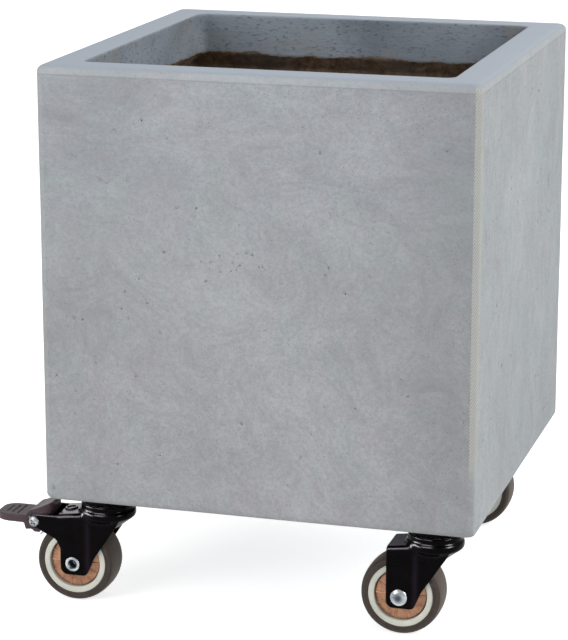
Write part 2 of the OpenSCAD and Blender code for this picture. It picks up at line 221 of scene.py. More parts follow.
enamelled = bpy.data.collections.new("enamelled")
for lamp_name, facts in LAMPS.items():
    lamp(lamp_name, *facts)
for lamp_name, facts in STRIPS.items():
    lamp(lamp_name, *facts, enamelled)


def seen_or_mirrored(net):
    """1 where the camera looks, directly, in a mirror or through glass, and 0 for what only lights."""
    path = net.node("ShaderNodeLightPath")
    mirrored = path.other("Is Glossy Ray").math("MAXIMUM", path.other("Is Transmission Ray"))
    return path.math("MAXIMUM", mirrored)


def white_ground():
    """The world: white where it is seen or mirrored, and dimmer as fill light."""
    world = bpy.data.worlds.new("white_ground")
    bpy.context.scene.world = world
    world.use_nodes = True
    net = Net(world.node_tree)
    world.node_tree.nodes.clear()
    strength = seen_or_mirrored(net) * (1 - FILL_LIGHT) + FILL_LIGHT
    ground = net.node("ShaderNodeBackground", None, {"Color": (1, 1, 1, 1), "Strength": strength})
    net.end("ShaderNodeOutputWorld", "Surface", ground)


white_ground()


def white_floor():
    """The floor: pale and matt, and lifted to white where it is seen or mirrored."""
    finish = Finish("floor")
    return finish.surface(
        Base_Color=(FLOOR_GREY, FLOOR_GREY, FLOOR_GREY, 1),
        Roughness=0.9,
        Specular_IOR_Level=0.0,
        Emission_Color=(1, 1, 1, 1),
        Emission_Strength=seen_or_mirrored(finish) * FLOOR_LIFT,
    )


half = FLOOR_WIDTH / 2
floor_mesh = bpy.data.meshes.new("floor")
floor_mesh.from_pydata(
    [(-half, -half, 0), (half, -half, 0), (half, half, 0), (-half, half, 0)], [], [(0, 1, 2, 3)]
)
floor_mesh.materials.append(white_floor())
floor = bpy.data.objects.new("floor", floor_mesh)
bpy.context.scene.collection.objects.link(floor)

# The camera looks from the right and from above, as the photograph does.
AZIMUTH, ELEVATION = math.radians(16.24), math.radians(14.46)
CAMERA_DISTANCE = 1.632
CAMERA_TARGET = Vector((-0.0208, 0, 0.1613))
FOCAL_PIXELS = 2528
SENSOR = 36
PICTURE_HEIGHT = 640

camera_data = bpy.data.cameras.new("camera")
camera_data.sensor_width = SENSOR
camera_data.lens = FOCAL_PIXELS / PICTURE_HEIGHT * SENSOR
camera = bpy.data.objects.new("camera", camera_data)
back = Vector(
    (
        math.sin(AZIMUTH) * math.cos(ELEVATION),
        -math.cos(AZIMUTH) * math.cos(ELEVATION),
        math.sin(ELEVATION),
    )
)
camera.location = CAMERA_TARGET + back * CAMERA_DISTANCE
camera.rotation_euler = (-back).to_track_quat("-Z", "Y").to_euler()
bpy.context.scene.collection.objects.link(camera)
bpy.context.scene.camera = camera
bpy.context.scene.view_settings.view_transform = "Standard"

# ---------------------------------------------------------------- planter box
# One shell of fibre clay, laid up in a mould: glass fibre in a mix of clay and cement, with a smooth
# grey face coat outside and over the thick band at the mouth. Below the band the inside stays raw.

BOX_FOOT = 72 * MM
BOX_W = 270 * MM
BOX_H = 270 * MM
RIM_W = 22 * MM
BAND_H = 27 * MM
WALL_T = 12 * MM
FLOOR_T = 16 * MM
EDGE_R = 4 * MM
LIP_R = 1.6 * MM
INNER_R = 6 * MM
DRAIN_R = 10 * MM
STEM_AT = 105 * MM
STEM_HOLE_R = 4.3 * MM
# the mesh: from ring to ring on the faces, the floor, the hollow and the band, and near upright corners
FACE_STEP, FLOOR_STEP, HOLLOW_STEP, BAND_STEP = 4 * MM, 9 * MM, 5 * MM, 1.5 * MM
CORNER_STEP, CORNER_ZONE = 2 * MM, 12 * MM
CORNER_PARTS, EDGE_PARTS = 6, 5
# the casting: how far its faces and its rim wander, and how deep the ripples inside are
WANDER, RIM_WANDER, RIPPLE = 0.35 * MM, 0.15 * MM, 0.35 * MM
# the face coat: its thickness, how far above the band's foot it ends, and how ragged and frayed it ends
COAT_T, COAT_OVER, COAT_RAGGED, COAT_FRAYED = 0.7 * MM, 1.0 * MM, 2.5 * MM, 1.2 * MM
COAT_REACH = 10
# how fine the noise is for each of these, in waves per metre
RAGGED_FINE, FRAYED_FINE, WANDER_FINE, RIM_FINE = 60, 400, 14, 25
BAND_FINE, RAW_FINE = (90, 90, 420), (160, 160, 35)
# the larger pinholes: radius, least distance, most for each square metre, and how they crowd in rows
PINHOLE_LEAST_R, PINHOLE_MOST_R = 0.25 * MM, 0.5 * MM
PINHOLE_GAP, PINHOLE_DENSITY = 2.2 * MM, 60000.0
PINHOLE_CROWD, PINHOLE_STRAY = 0.3, 0.01


def steps(a, b, step):
    """Even places from a to b, about a step apart, without b."""
    count = max(1, round(abs(b - a) / step))
    return [a + (b - a) * i / count for i in range(count)]


def ring_angles():
    """Directions from the box's middle to the points of every ring, closer together near the corners."""
    half_w = BOX_W / 2
    flat = half_w - EDGE_R
    fine = flat - CORNER_ZONE
    side = steps(-flat, -fine, CORNER_STEP) + steps(-fine, fine, FACE_STEP)
    side += steps(fine, flat, CORNER_STEP)
    quarter = [math.atan2(y, half_w) for y in side]
    for i in range(CORNER_PARTS):
        turn = math.radians(90 * i / CORNER_PARTS)
        quarter.append(math.atan2(flat + EDGE_R * math.sin(turn), flat + EDGE_R * math.cos(turn)))
    return [a + math.radians(90 * k) for k in range(4) for a in quarter]


def on_rounded_square(half_w, corner_r, angle):
    """Where a line from the middle leaves a square with rounded corners."""
    along = Vector((math.cos(angle), math.sin(angle)))
    big, small = sorted((abs(along.x), abs(along.y)), reverse=True)
    if half_w * small / big <= half_w - corner_r:
        return along * (half_w / big)
    k = half_w - corner_r
    reach = k * (big + small) + math.sqrt(max(0, (k * (big + small)) ** 2 - 2 * k * k + corner_r**2))
    return along * reach


def floor_corner(half_w):
    """Corner radius of a ring on the floor: square at the walls, round at the drain hole."""
    return min(half_w, INNER_R + 0.4 * (BOX_W / 2 - half_w))


def box_rings():
    """The shell's section as rings of (half width, corner radius, height, part of the shell)."""
    half_w, top = BOX_W / 2, BOX_H
    mouth, hollow = half_w - RIM_W, half_w - WALL_T
    band_foot = top - BAND_H
    slope_foot = band_foot - (RIM_W - WALL_T)
    turns = [math.radians(90 * i / EDGE_PARTS) for i in range(EDGE_PARTS)]
    arc = [(1 - math.sin(a), 1 - math.cos(a)) for a in turns]
    rings = [(w, floor_corner(w), 0, "under") for w in steps(DRAIN_R, half_w - EDGE_R, FLOOR_STEP)]
    rings += [(half_w - EDGE_R * s, EDGE_R, EDGE_R * c, "outside") for s, c in arc]
    rings += [(half_w, EDGE_R, z, "outside") for z in steps(EDGE_R, top - EDGE_R, FACE_STEP)]
    rings += [(half_w - EDGE_R * c, EDGE_R, top - EDGE_R * s, "outside") for s, c in arc]
    rings += [(w, EDGE_R, top, "rim") for w in steps(half_w - EDGE_R, mouth + LIP_R, FACE_STEP)]
    rings += [(mouth + LIP_R * s, INNER_R, top - LIP_R * c, "band") for s, c in arc]
    rings += [(mouth, INNER_R, z, "band") for z in steps(top - LIP_R, band_foot, BAND_STEP)]
    slope = steps(band_foot, slope_foot, BAND_STEP)
    rings += [(mouth + (band_foot - z), INNER_R, z, "raw") for z in slope]
    rings += [(hollow, INNER_R, z, "raw") for z in steps(slope_foot, FLOOR_T + INNER_R, HOLLOW_STEP)]
    rings += [(hollow - INNER_R * c, INNER_R, FLOOR_T + INNER_R * s, "raw") for s, c in arc]
    floor_ways = steps(hollow - INNER_R, DRAIN_R, FLOOR_STEP)
    rings += [(w, floor_corner(w), FLOOR_T, "raw") for w in floor_ways]
    rings += [(DRAIN_R, DRAIN_R, z, "raw") for z in steps(FLOOR_T, 0, FACE_STEP)]
    return rings


def shell_mesh():
    """The closed shell. Its faces wander a little, and the face coat ends raggedly at the band's foot.

    The attribute "bare" grows downwards, by one for each millimetre, from COAT_REACH above that edge.
    """
    angles, rings = ring_angles(), box_rings()
    points, bare = [], []
    for half_w, corner_r, z, part in rings:
        for angle in angles:
            flat = on_rounded_square(half_w, corner_r, angle)
            place = Vector((flat.x, flat.y, z))
            out = Vector((flat.x, flat.y, 0)).normalized()
            coat_foot = BOX_H - BAND_H + COAT_OVER
            coat_foot += COAT_RAGGED * noise.noise(place * RAGGED_FINE)
            coat_foot += COAT_FRAYED * noise.noise(place * FRAYED_FINE)
            depth = (coat_foot - z) / MM
            if part == "outside":
                place -= out * WANDER * (0.5 + 0.5 * noise.noise(place * WANDER_FINE))
            elif part == "rim":
                place.z -= RIM_WANDER * (0.5 + 0.5 * noise.noise(place * RIM_FINE))
            elif part == "band":
                lie = Vector([a * b for a, b in zip(place, BAND_FINE)])
                fade = min(1, (BOX_H - z) / (6 * MM))
                place += out * RIPPLE * fade * (0.5 + 0.5 * noise.noise(lie))
            elif part == "raw" and z > FLOOR_T:
                lie = Vector([a * b for a, b in zip(place, RAW_FINE)])
                place += out * (COAT_T * min(1, max(0, depth)) + RIPPLE * noise.noise(lie))
            points.append(place + Vector((0, 0, BOX_FOOT)))
            bare.append(max(0, depth + COAT_REACH) if part in ("band", "raw") else 0)
    n, m = len(angles), len(rings)
    quads = [
        (j * n + i, j * n + (i + 1) % n, (j + 1) % m * n + (i + 1) % n, (j + 1) % m * n + i)
        for j in range(m)
        for i in range(n)
    ]
    mesh = bpy.data.meshes.new("planter_box")
    mesh.from_pydata(points, [], quads)
    mesh.attributes.new("bare", "FLOAT", "POINT").data.foreach_set("value", bare)
    mesh.shade_smooth()
    return mesh


class Maker(Net):
    """A Geometry Nodes tree with named inputs. bake() runs it and gives the result as a plain mesh."""

    def __init__(self, name):
        super().__init__(bpy.data.node_groups.new(name, "GeometryNodeTree"))
        face = self.tree.interface
        face.new_socket("Geometry", in_out="INPUT", socket_type="NodeSocketGeometry")
        face.new_socket("Geometry", in_out="OUTPUT", socket_type="NodeSocketGeometry")
        self.start = self.tree.nodes.new("NodeGroupInput")
        self.values = {}

    def geometry(self):
        return Value(self, self.start.outputs["Geometry"])

    def size(self, name, value):
        """A named input of the tree, a whole number or a length."""
        kind = "NodeSocketInt" if isinstance(value, int) else "NodeSocketFloat"
        item = self.tree.interface.new_socket(name, in_out="INPUT", socket_type=kind)
        self.values[item.identifier] = value
        return Value(self, self.start.outputs[name])

    def xyz(self, x=0.0, y=0.0, z=0.0):
        return self.node("ShaderNodeCombineXYZ", None, {"X": x, "Y": y, "Z": z})

    def transformed(self, geometry, **how):
        """Geometry with a Translation or a Scale."""
        return self.node("GeometryNodeTransform", None, {"Geometry": geometry, **how})

    def placed(self, points, shape, **how):
        """Copies of a shape on points, with a Rotation or a Scale."""
        sockets = {"Points": points, "Instance": shape, **how}
        return self.node("GeometryNodeInstanceOnPoints", None, sockets)

    def at_corners(self, shape):
        """Copies of a shape on the four swivel axes, at the height of the planter's underside."""
        sizes = {"Size X": 2 * STEM_AT, "Size Y": 2 * STEM_AT, "Vertices X": 2, "Vertices Y": 2}
        square = self.node("GeometryNodeMeshGrid", None, sizes)
        return self.placed(self.transformed(square, Translation=(0, 0, BOX_FOOT)), shape)

    def swept(self, path, profile):
        """A closed bar with a profile along a path."""
        sockets = {"Curve": path, "Profile Curve": profile, "Fill Caps": True}
        return self.node("GeometryNodeCurveToMesh", None, sockets)

    def joined(self, *pieces):
        whole = self.node("GeometryNodeJoinGeometry")
        for piece in pieces:
            self.tree.links.new(piece.socket, whole.socket.node.inputs["Geometry"])
        return whole

    def finish(self, geometry, material=None):
        whole = self.node("GeometryNodeRealizeInstances", None, {"Geometry": geometry})
        if material:
            whole = self.node("GeometryNodeSetMaterial", None, {"Geometry": whole, "Material": material})
        self.end("NodeGroupOutput", "Geometry", whole)

    def bake(self, name, mesh):
        maker = bpy.data.objects.new(name, mesh)
        bpy.context.scene.collection.objects.link(maker)
        modifier = maker.modifiers.new("maker", "NODES")
        modifier.node_group = self.tree
        for identifier, value in self.values.items():
            modifier[identifier] = value
        graph = bpy.context.evaluated_depsgraph_get()
        made = bpy.data.meshes.new_from_object(
            maker.evaluated_get(graph), preserve_all_data_layers=True, depsgraph=graph
        )
        bpy.data.objects.remove(maker)
        made.name = name
        return made


def cast_marks(shade):
    """Cuts the caster holes and the larger air pinholes on the outside."""
    tree = Maker("cast_marks")
    shell = tree.geometry()
    pin_seed = tree.size("pinhole seed", 7)
    largest = tree.size("largest pinhole radius", PINHOLE_MOST_R)
    smallest = tree.size("smallest pinhole radius", PINHOLE_LEAST_R)
    # pinholes: only on upright outside faces, in clusters and level rows
    place = tree.node("GeometryNodeInputPosition")
    across = tree.parts(place)
    reach = across.math("ABSOLUTE").math("MAXIMUM", across.other("Y").math("ABSOLUTE"))
    height = across.other("Z")
    on_face = reach.math("GREATER_THAN", BOX_W / 2 - 0.6 * MM)
    on_face = on_face * height.math("GREATER_THAN", BOX_FOOT + 6 * MM)
    on_face = on_face * height.math("LESS_THAN", BOX_FOOT + BOX_H - 4 * MM)
    level = tree.scaled(place, (1, 1, 4))
    rows = tree.node("ShaderNodeTexNoise", None, {"Vector": level, "Scale": 17.0, "Detail": 2.0})
    dots = tree.node(
        "GeometryNodeDistributePointsOnFaces",
        {"distribute_method": "POISSON"},
        {
            "Mesh": shell,
            "Selection": on_face,
            "Distance Min": PINHOLE_GAP,
            "Density Max": PINHOLE_DENSITY,
            "Density Factor": rows.between(0.60, 0.74) * PINHOLE_CROWD + PINHOLE_STRAY,
            "Seed": pin_seed,
        },
    )
    width = tree.node(
        "FunctionNodeRandomValue", {"data_type": "FLOAT"}, {2: 0.0, 3: 1.0, "Seed": pin_seed}, out=1
    )
    width = smallest + width.math("POWER", 3.0) * (largest - smallest)
    ball = tree.node("GeometryNodeMeshIcoSphere", None, {"Radius": 1.0, "Subdivisions": 2})
    ball = tree.node("GeometryNodeSetMaterial", None, {"Geometry": ball, "Material": shade})
    holes = tree.placed(dots, ball, Scale=tree.xyz(width, width, width))
    pin_sizes = {"Vertices": 32, "Radius": STEM_HOLE_R, "Depth": 3 * FLOOR_T}
    bores = tree.at_corners(tree.node("GeometryNodeMeshCylinder", None, pin_sizes))
    for cutter in (bores, holes):
        cutter = tree.node("GeometryNodeRealizeInstances", None, {"Geometry": cutter})
        shell = tree.node(
            "GeometryNodeMeshBoolean",
            {"operation": "DIFFERENCE", "solver": "MANIFOLD"},
            {"Mesh 1": shell, "Mesh 2": cutter},
        )
    tree.finish(shell)
    return tree


def face_coat():
    """Polished grey clay: cloudy, laid on in short curling strokes, and pricked with tiny holes."""
    finish = Finish("face_coat")
    half_w, mouth = BOX_W / 2, BOX_W / 2 - RIM_W
    across = finish.parts(finish.place)
    height = across.other("Z") - BOX_FOOT
    share = height * (1 / BOX_H)
    wide, deep = across.math("ABSOLUTE"), across.other("Y").math("ABSOLUTE")
    facing = finish.parts(finish.facing)
    sideways = facing.math("ABSOLUTE").between(0.6, 0.9)
    upwards = facing.other("Z").between(0.55, 0.95)
    inside = 1.0 - wide.math("MAXIMUM", deep).between(mouth + 0.5 * MM, mouth + 3 * MM)
    # strokes: level near the top, slanting lower down, and upright on the two sides
    cloud = finish.noise(95 * MM, 3.0, 0.5, 0.4)
    level = finish.noise(40 * MM, 6.0, 0.95, 0.7, finish.stretched((0.75, 0.75, 1.5)))
    slant = finish.noise(40 * MM, 6.0, 0.95, 1.4, finish.stretched((1.15, 1.0, 0.85), (0, 38, 0)))
    upright = finish.noise(30 * MM, 6.0, 0.95, 0.6, finish.stretched((1.3, 1.3, 0.75)))
    high = (share + cloud * 0.9).between(0.95, 1.25)
    strokes = level * high + slant * (1.0 - high)
    strokes = strokes * (1.0 - sideways) + upright * sideways
    grey = finish.mix(strokes, "#7f8185", "#c1c4c7")
    drift = finish.noise(60 * MM, 2.0, 0.7, 0.8)
    tint = finish.noise(30 * MM, 3.0, 0.8, 0.3)
    grey = finish.tinted(grey, cloud, (0.84,) * 3, (1.16,) * 3)
    grey = finish.tinted(grey, drift, (0.88,) * 3, (1.12,) * 3)
    grey = finish.tinted(grey, tint.between(0.30, 0.70), (1.0, 0.965, 0.99), (0.965, 1.0, 0.985))
    # painted light: bluer towards the top and greener on the two sides; and painted shade on every other
    # face, deepest near the upright edges, most on the right
    cast = finish.mix(share.between(0.1, 0.95), (1.012, 0.998, 0.985), (0.982, 1.0, 1.014))
    grey = finish.tinted(grey, sideways, cast, (0.985, 1.014, 0.998))
    left = (across * -1.0).between(half_w - 110 * MM, half_w - 10 * MM)
    right = across.between(half_w - 75 * MM, half_w - 8 * MM)
    painted_edge_shade = (left * 0.10 + right * 0.17 + 0.03) * (1.0 - sideways)
    grey = finish.mix(painted_edge_shade, grey, (0.0, 0.0, 0.0))
    grain = finish.noise(2.0 * MM, 2.0, 1.0)
    grey = finish.mix(grain.between(0.34, 0.70) * 0.32, grey, "#777a7d")
    # pricks: a few everywhere, and many in level rows and clusters; each tiny hole is painted dark as its
    # shade
    prick_apart = 1.8 * MM
    sockets = {"Vector": finish.place, "Scale": 1 / prick_apart}
    cells = finish.node("ShaderNodeTexVoronoi", None, sockets)
    chance = finish.parts(cells.other("Color"))
    crowd = finish.noise(44 * MM, 3.0, 0.7, 0.3, finish.stretched((0.8, 0.8, 1.5))).between(0.52, 0.66)
    pricked = (chance + crowd * 0.62).between(0.93, 0.97) * (1.0 - cells.between(0.10, 0.26))
    grey = finish.mix(pricked * 0.52, grey, "#4c4e52")
    # the rounded top edges: paler, a painted highlight, with a painted shade line at their foot; and on
    # the right corners a pale strip with ticks like a twisted cord, their grooves painted dark as shade,
    # fading out lower down
    crest = height.between(BOX_H - EDGE_R - 1.2 * MM, BOX_H - EDGE_R - 0.6 * MM)
    edge_shade_line = height.between(BOX_H - EDGE_R - 2.0 * MM, BOX_H - EDGE_R - 1.4 * MM) * (1.0 - crest)
    corner = wide.math("MINIMUM", deep)
    corner = corner.between(half_w - EDGE_R - 0.4 * MM, half_w - EDGE_R + 0.2 * MM)
    corner = corner * (0.2 + 0.8 * across.between(-10 * MM, 10 * MM))
    above_foot = height.between(34 * MM, 52 * MM)
    corner = corner * (0.06 + 0.94 * above_foot)
    pitch, lean = 2.2 * MM, 1.1
    turns = (height - (wide - deep) * lean) * (2 * math.pi / pitch) + strokes * 9.0
    ticks = corner * turns.math("SINE").between(-0.3, 0.8) * above_foot
    grey = finish.mix(crest * 0.35, grey, "#b4b9bd")
    grey = finish.mix(edge_shade_line * 0.3, grey, "#7e8286")
    grey = finish.mix(corner * 0.55, grey, "#c9c9c4")
    grey = finish.mix(ticks * 0.65, grey, "#86847d")
    # the rim's flat top is rubbed smoother, and painted paler and bluer as painted light from above; the
    # band inside is painted darker, partly as painted shade inside the mouth, and is stained and rougher
    grey = finish.mix(upwards * 0.85, grey, "#9ca6b3")
    pits = finish.noise(2.2 * MM, 3.0, 0.6, 0.0, finish.stretched((0.55, 0.55, 1.3)))
    banded = finish.mix(cloud.between(0.35, 0.65), "#747d87", "#8f98a1")
    banded = finish.mix(drift.between(0.50, 0.66) * 0.4, banded, "#8b8478")
    banded = finish.mix(pits.between(0.54, 0.70) * 0.7, banded, "#585d63")
    within = inside * (1.0 - upwards)
    colour = finish.mix(within, grey, banded)
    # raw fibre below the coat's ragged edge
    ragged = finish.noise(3.5 * MM, 3.0, 0.7, 0.5)
    bare = finish.attribute("bare") + ragged * 2.4 - 1.2
    bare = bare.between(COAT_REACH - 0.25, COAT_REACH + 0.35)
    fibre = finish.noise(7 * MM, 5.0, 0.7, 0.6, finish.stretched((1, 1, 0.28)))
    mud = finish.noise(34 * MM, 3.0, 0.55)
    raw = finish.mix(fibre.between(0.32, 0.70), "#5c4a3b", "#947f68")
    raw = finish.mix(mud.between(0.40, 0.70) * 0.6, raw, "#6c665f")
    colour = finish.mix(bare, colour, raw)
    # relief
    relief = finish.bump(grain - pricked * 2.0, 0.12 * MM, 0.6)
    relief = finish.bump(ticks * -1.0, 0.25 * MM, 0.6, relief)
    relief = finish.bump(pits * within, 0.45 * MM, 0.7, relief)
    relief = finish.bump(fibre * bare, 1.6 * MM, 0.9, relief)
    roughness = 0.66 + strokes * 0.14 - upwards * 0.12 + bare * 0.25 + within * 0.1
    return finish.surface(Base_Color=colour, Roughness=roughness, Specular_IOR_Level=0.3, Normal=relief)


def pinhole_shade():
    """The inside of a pinhole, painted dark as its shade, in patches."""
    finish = Finish("pinhole_shade")
    mottle = finish.noise(1.5 * MM, 2.0)
    colour = finish.mix(mottle.between(0.3, 0.7), "#55585b", "#7c8083")
    return finish.surface(Base_Color=colour, Roughness=0.95, Specular_IOR_Level=0.1)


def show(name, mesh, body, slot, *stands_for, materials=()):
    """Puts a finished mesh in the scene on its body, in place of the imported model's nodes."""
    for material in materials:
        mesh.materials.append(material)
    piece = bpy.data.objects.new(name, mesh)
    bpy.context.scene.collection.objects.link(piece)
    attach(piece, body)
    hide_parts(*stands_for)
    return piece


def show_copy(name, pattern, by, body, slot, stands_for, materials=()):
    """Shows a copy of a mesh, moved to its own place."""
    mesh = pattern.copy()
    mesh.name = name
    mesh.transform(Matrix.Translation(by))
    return show(name, mesh, body, slot, stands_for, materials=materials)


uncut = shell_mesh()
uncut.materials.append(face_coat())
show(
    "planter_box",
    cast_marks(pinhole_shade()).bake("planter_box", uncut),
    "planter",
    "fibre_clay",
    "planter_shell",
)

# ---------------------------------------------------------------- stems and their nuts
# Each caster hangs on an M8 stem of zinc-plated steel that goes up through the planter's floor, and is
# held there by a flat washer and a nut. The stem's lower end is the kingpin, riveted over under the head.

STEM_R = 3.9 * MM
THREAD_PITCH = 1.25 * MM
THREAD_DEPTH = 0.55 * MM
CAP_UNDER = -4.25 * MM
STEM_TOP = FLOOR_T + 11 * MM
CORNERS = {"fl": (-1, -1), "fr": (1, -1), "rl": (-1, 1), "rr": (1, 1)}
# turned solids: points nearer than this are one, and edges sharper than this stay sharp
SAME_POINT, NO_AREA = 0.001 * MM, 1e-14
SHARP_FROM = math.radians(40)


def swivel_axis(corner):
    """The point of a caster's swivel axis at the height of the planter's underside."""
    x, y = CORNERS[corner]
    return Vector((x * STEM_AT, y * STEM_AT, BOX_FOOT))


def softened(outline, arc_parts):
    """A closed outline in metres with arcs for corners, from (radius, length, corner radius) in mm."""
    made = []
    for i, (r, y, corner) in enumerate(outline):
        here = Vector((r, y))
        if not corner:
            made.append(here * MM)
            continue
        before = (Vector(outline[i - 1][:2]) - here).normalized()
        after = (Vector(outline[(i + 1) % len(outline)][:2]) - here).normalized()
        half = before.angle(after) / 2
        middle = here + (before + after).normalized() * corner / math.sin(half)
        first = here + before * corner / math.tan(half) - middle
        turn = first.angle_signed(here + after * corner / math.tan(half) - middle)
        for k in range(arc_parts + 1):
            spoke = first.copy()
            spoke.rotate(Matrix.Rotation(-turn * k / arc_parts, 2))
            made.append((middle + spoke) * MM)
    return made


def turned(name, outline, middle, axis, sides=96, arc_parts=4):
    """A solid turned about the axis "Y" or "Z" through a point, from an outline that it softens."""
    form = bmesh.new()
    along = Vector((0, 1, 0)) if axis == "Y" else Vector((0, 0, 1))
    section = softened(outline, arc_parts)
    ring = [form.verts.new(middle + Vector((r, 0, 0)) + along * y) for r, y in section]
    lines = [form.edges.new((ring[i - 1], ring[i])) for i in range(len(ring))]
    bmesh.ops.spin(
        form, geom=ring + lines, cent=middle, axis=along, angle=2 * math.pi, steps=sides, use_merge=True
    )
    bmesh.ops.remove_doubles(form, verts=form.verts, dist=SAME_POINT)
    flat = [f for f in form.faces if f.calc_area() < NO_AREA]
    bmesh.ops.delete(form, geom=flat, context="FACES_ONLY")
    bmesh.ops.recalc_face_normals(form, faces=form.faces)
    mesh = bpy.data.meshes.new(name)
    form.to_mesh(mesh)
    form.free()
    mesh.shade_smooth()
    mesh.set_sharp_from_angle(angle=SHARP_FROM)
    return mesh


def plated(name, tone, roughness, size=6 * MM):
    """Zinc or steel: metal with cloudy plating, fine scratches along one direction and darker streaks.

    Where a mesh has the darkening attribute, its plating is painted darker, as painted shade and
    reflection.
    """
    finish = Finish(name)
    cloud = finish.noise(size, 4.0, 0.6)
    brushed = finish.noise(size * 0.3, 3.0, 0.6, 0.0, finish.stretched((1, 9, 1)))
    dark, light, dark_tone = tone
    colour = finish.mix(cloud.between(0.35, 0.65), dark, light)
    colour = finish.mix(brushed.between(0.60, 0.75) * 0.4, colour, dark_tone)
    # painted shade and reflection, darker where the mesh's attribute says
    colour = finish.mix(finish.attribute("dark_tone"), colour, dark_tone)
    relief = finish.bump(brushed, 0.03 * MM, 0.5)
    return finish.surface(
        Base_Color=colour, Metallic=1.0, Roughness=roughness + cloud * 0.16, Normal=relief
    )


zinc_plate = plated("zinc_plate", ("#8f969b", "#c4c9cd", "#40464b"), 0.18)
bright_steel = plated("bright_steel", ("#868a8d", "#c2c5c7", "#5c6063"), 0.12, 3 * MM)
screw_steel = plated("screw_steel", ("#74787b", "#a9adb0", "#4c5053"), 0.26, 3 * MM)
spring_steel = plated("spring_steel", ("#6f7276", "#a3a6a9", "#54575b"), 0.22)


def dress(finish, *nodes):
    """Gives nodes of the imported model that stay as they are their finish."""
    for node in nodes:
        for slot in cad_nodes[node].material_slots:
            slot.material = finish


def stem_thread():
    """A spiral ridge of three sides round each of the four stems, on the planter's body."""
    tree = Maker("stem_thread")
    core = tree.geometry()
    pitch = tree.size("pitch", THREAD_PITCH)
    length = tree.size("threaded length", STEM_TOP - CAP_UNDER - 2 * MM)
    radius = tree.size("crest radius", STEM_R) - THREAD_DEPTH * 0.5
    spiral = tree.node(
        "GeometryNodeCurveSpiral",
        None,
        {
            "Resolution": 20,
            "Rotations": length.math("DIVIDE", pitch),
            "Start Radius": radius,
            "End Radius": radius,
            "Height": length,
        },
    )
    ridge_sizes = {"Resolution": 3, "Radius": THREAD_DEPTH * 0.5}
    ridge = tree.node("GeometryNodeCurvePrimitiveCircle", None, ridge_sizes)
    raised = tree.transformed(tree.swept(spiral, ridge), Translation=(0, 0, CAP_UNDER + 1 * MM))
    tree.finish(tree.at_corners(tree.joined(core, raised)), zinc_plate)
    return tree


STEM_OUTLINE = [
    (0, -16.8, 0),
    (5.4, -16.8, 0.8),
    (7.6, -15.6, 0.8),
    (7.6, -14.6, 0.3),
    (5.4, -14.6, 0),
    (5.4, -4.25, 0),
    (3.4, -4.25, 0),
    (3.4, 26.2, 0.4),
    (2.8, 27, 0),
    (0, 27, 0),
]
show(
    "threaded_stems",
    stem_thread().bake("threaded_stems", turned("stem", STEM_OUTLINE, Vector(), "Z", 40)),
    "planter",
    "zinc_plate",
    *("threaded_stem_" + c for c in CORNERS),
)
dress(zinc_plate, "stem_washers", "stem_nuts")

# ---------------------------------------------------------------- swivel heads
# A black plate bears on the planter's underside and covers the upper ring of balls. A zinc dish under
# the fork's head holds the lower ring. Both turn on hardened balls in grease.


def gloss_black():
    """Black enamel: deep and glossy, with a painted highlight by each crease and a painted reflection on
    level faces.
    """
    finish = Finish("gloss_black")
    mottle = finish.noise(9 * MM, 4.0, 0.6)
    peel = finish.noise(1.1 * MM, 2.0, 0.5)
    level = finish.parts(finish.facing).other("Z").between(0.90, 0.99)
    colour = finish.mix(mottle.between(0.35, 0.75), "#030202", "#060405")
    # level faces: a painted reflection, pale violet, in patches
    colour = finish.mix(level * (0.5 + mottle * 0.6), colour, "#756370")
    # a painted highlight: a soft pale band beside each leg's crease
    colour = finish.mix(finish.attribute("crease_highlight") * (0.5 + mottle * 0.7), colour, "#1d1720")
    return finish.surface(
        Base_Color=colour,
        Roughness=0.14 + mottle * 0.14,
        Specular_IOR_Level=0.03,
        Specular_Tint=(0.95, 0.90, 1.0, 1.0),
        Coat_Weight=level * 0.9,
        Coat_Roughness=0.12,
        Normal=finish.bump(peel, 0.02 * MM, 0.12),
    )


black_paint = gloss_black()
CAP_OUTLINE = [
    (3.9, 0, 0),
    (3.9, -4.25, 0),
    (14.2, -4.25, 0),
    (14.5, -5.9, 0),
    (16.1, -5.9, 0.4),
    (16.1, -4.6, 0.4),
    (16.5, -4.2, 0.4),
    (16.5, 0, 1.0),
]
for corner in CORNERS:
    cap = show(
        "race_cap_finished_" + corner,
        turned("race_cap_" + corner, CAP_OUTLINE, swivel_axis(corner), "Z"),
        "planter",
        "black_paint",
        "race_cap_" + corner,
        materials=[black_paint],
    )
    enamelled.objects.link(cap)
    dress(zinc_plate, "lower_race_" + corner)
    dress(bright_steel, "swivel_balls_" + corner)

# ---------------------------------------------------------------- forks
# Each fork is pressed from 2 mm steel: a round head with a rolled shoulder, a funnel under it, and two
# legs folded down from a sloping bridge. The press leaves soft hollows where the legs meet the head.

FORK_PITCH = 0.45 * MM
LEG_OUTSIDE = 12.6 * MM
# every edge is softened, and below the head the inside corners on the legs' outer sides are filled
EDGE_PASSES, FILL_PASSES, LAST_PASSES = 5, 220, 2
FILL_BELOW = -12.4 * MM
# the upright crease on each leg, where its front part steps inwards, and the painted highlight along it
CREASE_X, CREASE_STEP, CREASE_W = -11.4 * MM, 0.45 * MM, 1.7 * MM
CREASE_TOP, CREASE_FULL, CREASE_HIGHLIGHT_FULL = 16 * MM, 23 * MM, 21 * MM
CREASE_HIGHLIGHT_AT, CREASE_HIGHLIGHT_W = 2.0 * MM, 1.6 * MM
# the saddle between the bridge and the head's shoulder, softened more than the rest
SADDLE_X, SADDLE_Z = -10.5 * MM, -14.2 * MM
SADDLE_W, SADDLE_H = 4.0 * MM, 3.0 * MM
SADDLE_PASSES = 70
# a point is on a leg's outer side where its normal points outwards by more than this
OUTWARD = 0.35
# while inside corners are filled, the normals are taken again each time so many passes are done
NORMALS_EVERY = 8


